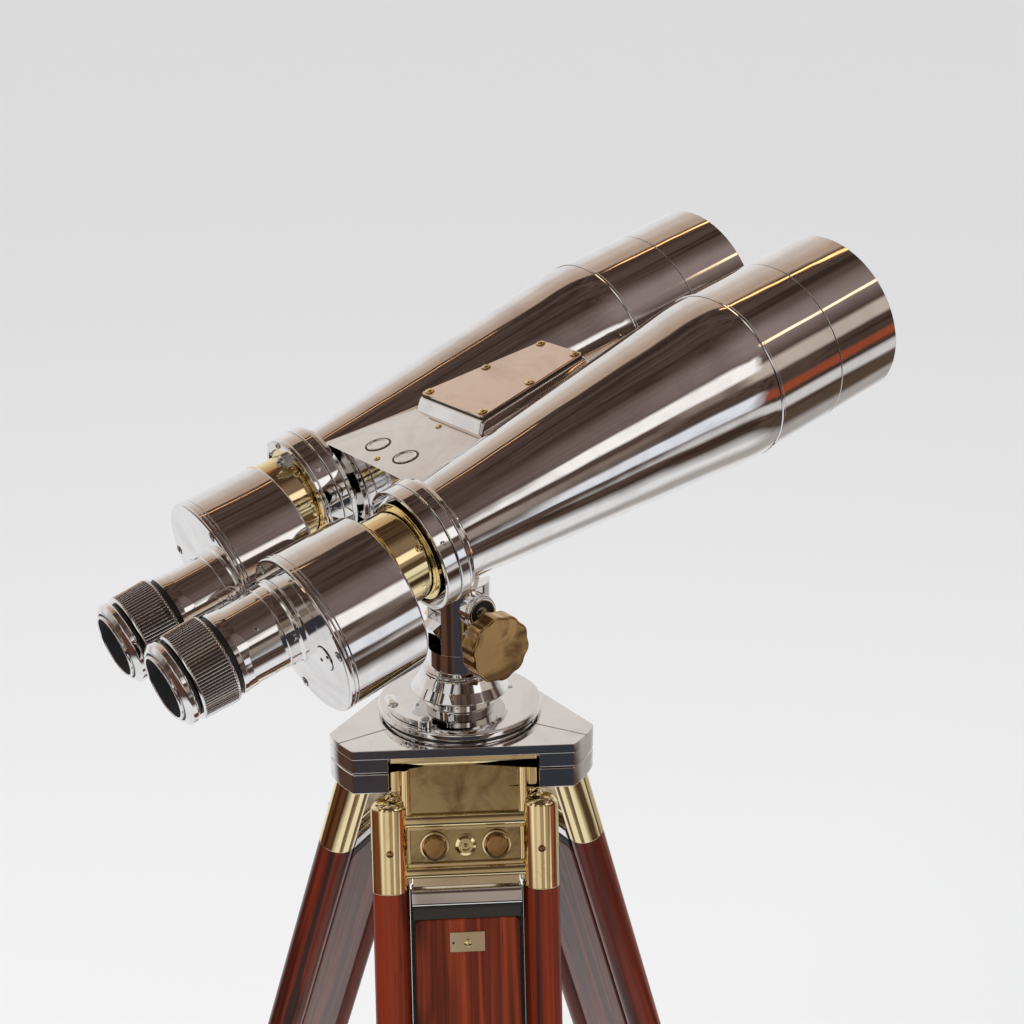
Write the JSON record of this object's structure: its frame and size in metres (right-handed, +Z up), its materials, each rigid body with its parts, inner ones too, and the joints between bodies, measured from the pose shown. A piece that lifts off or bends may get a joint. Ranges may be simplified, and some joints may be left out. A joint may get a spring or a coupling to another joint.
{
  "type": "tripod-mounted observation binocular",
  "caption": "Large polished twin-barrel observation binocular with a fork-and-knob tilt mount on a folding wooden tripod with brass fittings.",
  "frame": {"origin": "middle of the part's box at floor level", "axes": "+Z up; the front leg points along -Y; the barrels point forward between +X and +Y"},
  "size_m": [0.6956, 0.652, 1.3642],
  "materials": {
    "polished_aluminium": "mirror polished",
    "polished_chrome": "mirror polished",
    "aged_brass": "polished, lightly aged",
    "steel": "machined",
    "varnished_wood": "gloss varnish over red-brown hardwood",
    "optical_glass": "coated optical glass"
  },
  "bodies": {
    "tripod_head": {"head_upper_plate": "polished_aluminium", "head_lower_plate": "polished_aluminium", "leg_hinge_pins": "steel", "azimuth_disc": "polished_aluminium"},
    "azimuth_lever": {"azimuth_lever": "polished_aluminium"},
    "column": {"column": "polished_chrome", "tilt_pin": "steel"},
    "tilt_knob": {"tilt_knob": "aged_brass"},
    "binocular": {"saddle": "polished_aluminium", "binocular_body": "polished_aluminium", "nameplate": "aged_brass", "bridge_screws": "steel", "swivel_clamp": "steel", "left_objective_cell": "polished_chrome", "left_hood": "polished_chrome", "left_objective_lens": "optical_glass", "left_rear_flange": "polished_aluminium", "right_objective_cell": "polished_chrome", "right_hood": "polished_chrome", "right_objective_lens": "optical_glass", "right_rear_flange": "polished_aluminium"},
    "left_prism_unit": {"left_swivel_collar": "aged_brass", "left_prism_drum": "polished_aluminium", "left_prism_cover": "polished_aluminium", "left_cover_screws": "steel", "left_prisms": "optical_glass", "left_eyepiece_tube": "polished_chrome"},
    "left_ocular": {"left_eyecup": "polished_chrome", "left_eye_lens": "optical_glass"},
    "left_focus_ring": {"left_focus_ring": "polished_chrome"},
    "right_prism_unit": {"right_swivel_collar": "aged_brass", "right_prism_drum": "polished_aluminium", "right_prism_cover": "polished_aluminium", "right_cover_screws": "steel", "right_prisms": "optical_glass", "right_eyepiece_tube": "polished_chrome"},
    "right_ocular": {"right_eyecup": "polished_chrome", "right_eye_lens": "optical_glass"},
    "right_focus_ring": {"right_focus_ring": "polished_chrome"},
    "front_leg": {"front_leg_bracket": "aged_brass", "front_leg_poles": "varnished_wood", "front_leg_clamp": "aged_brass"},
    "front_leg_knob": {"front_leg_knob": "aged_brass"},
    "front_leg_extension": {"front_leg_board": "varnished_wood", "front_leg_board_cap": "steel", "front_leg_shoe": "aged_brass"},
    "left_leg": {"left_leg_bracket": "aged_brass", "left_leg_poles": "varnished_wood", "left_leg_clamp": "aged_brass"},
    "left_leg_knob": {"left_leg_knob": "aged_brass"},
    "left_leg_extension": {"left_leg_board": "varnished_wood", "left_leg_board_cap": "steel", "left_leg_shoe": "aged_brass"},
    "right_leg": {"right_leg_bracket": "aged_brass", "right_leg_poles": "varnished_wood", "right_leg_clamp": "aged_brass"},
    "right_leg_knob": {"right_leg_knob": "aged_brass"},
    "right_leg_extension": {"right_leg_board": "varnished_wood", "right_leg_board_cap": "steel", "right_leg_shoe": "aged_brass"}
  },
  "joints": [
    {"name": "azimuth", "type": "hinge", "parent": "tripod_head", "child": "column", "pos_m": [0, 0.05666, 1.04], "axis": [0, 0, 1], "continuous": true},
    {"name": "elevation", "type": "hinge", "parent": "column", "child": "binocular", "pos_m": [0, 0.05666, 1.118], "axis": [0.524, -0.8517, 0], "range_deg": [-30.65, 29.35]},
    {"name": "tilt_clamp_turn", "type": "hinge", "parent": "column", "child": "tilt_knob", "pos_m": [0, 0.05666, 1.098], "axis": [0.524, -0.8517, 0], "range_deg": [-180, 180]},
    {"name": "azimuth_lever_swing", "type": "hinge", "parent": "tripod_head", "child": "azimuth_lever", "pos_m": [-0.02678, 0.01209, 1.04], "axis": [0, 0, 1], "range_deg": [-18, 8]},
    {"name": "right_swivel", "type": "hinge", "parent": "binocular", "child": "right_prism_unit", "pos_m": [-0.01586, -0.03892, 1.20414], "axis": [0.8202, 0.5046, 0.2698], "range_deg": [-8, 25]},
    {"name": "right_ocular_slide", "type": "slide", "parent": "right_prism_unit", "child": "right_ocular", "axis": [-0.8202, -0.5046, -0.2698], "range_m": [-0.003, 0.004]},
    {"name": "right_focus_turn", "type": "hinge", "parent": "right_ocular", "child": "right_focus_ring", "pos_m": [-0.1587, -0.08605, 1.14195], "axis": [0.8202, 0.5046, 0.2698], "range_deg": [-135, 180]},
    {"name": "left_swivel", "type": "hinge", "parent": "binocular", "child": "left_prism_unit", "pos_m": [-0.09247, 0.0856, 1.20414], "axis": [0.8202, 0.5046, 0.2698], "range_deg": [-25, 8]},
    {"name": "left_ocular_slide", "type": "slide", "parent": "left_prism_unit", "child": "left_ocular", "axis": [-0.8202, -0.5046, -0.2698], "range_m": [-0.003, 0.004]},
    {"name": "left_focus_turn", "type": "hinge", "parent": "left_ocular", "child": "left_focus_ring", "pos_m": [-0.19894, -0.02064, 1.14195], "axis": [0.8202, 0.5046, 0.2698], "range_deg": [-135, 180]},
    {"name": "front_leg_hinge", "type": "hinge", "parent": "tripod_head", "child": "front_leg", "pos_m": [0, 0.00656, 1.0175], "axis": [1, 0, 0], "range_deg": [0, 16.5]},
    {"name": "front_leg_slide", "type": "slide", "parent": "front_leg", "child": "front_leg_extension", "axis": [0, -0.2982, -0.9545], "range_m": [0, 0.45]},
    {"name": "front_leg_knob_turn", "type": "hinge", "parent": "front_leg", "child": "front_leg_knob", "pos_m": [0, -0.26868, 0.1365], "axis": [0, -0.9545, 0.2982], "range_deg": [-180, 180]},
    {"name": "left_leg_hinge", "type": "hinge", "parent": "tripod_head", "child": "left_leg", "pos_m": [-0.04339, 0.08171, 1.0175], "axis": [-0.5, -0.866, 0], "range_deg": [0, 16.5]},
    {"name": "left_leg_slide", "type": "slide", "parent": "left_leg", "child": "left_leg_extension", "axis": [-0.2583, 0.1491, -0.9545], "range_m": [0, 0.45]},
    {"name": "left_leg_knob_turn", "type": "hinge", "parent": "left_leg", "child": "left_leg_knob", "pos_m": [-0.28176, 0.21934, 0.1365], "axis": [-0.8266, 0.4773, 0.2982], "range_deg": [-180, 180]},
    {"name": "right_leg_hinge", "type": "hinge", "parent": "tripod_head", "child": "right_leg", "pos_m": [0.04339, 0.08171, 1.0175], "axis": [-0.5, 0.866, 0], "range_deg": [0, 16.5]},
    {"name": "right_leg_slide", "type": "slide", "parent": "right_leg", "child": "right_leg_extension", "axis": [0.2583, 0.1491, -0.9545], "range_m": [0, 0.45]},
    {"name": "right_leg_knob_turn", "type": "hinge", "parent": "right_leg", "child": "right_leg_knob", "pos_m": [0.28176, 0.21934, 0.1365], "axis": [0.8266, 0.4773, 0.2982], "range_deg": [-180, 180]}
  ],
  "couplings": [
    {"joint": "right_ocular_slide", "follows": "right_focus_turn", "m_per_rad": 0.0012732},
    {"joint": "left_ocular_slide", "follows": "left_focus_turn", "m_per_rad": 0.0012732},
    {"joint": "left_swivel", "follows": "right_swivel", "ratio": -1}
  ]
}
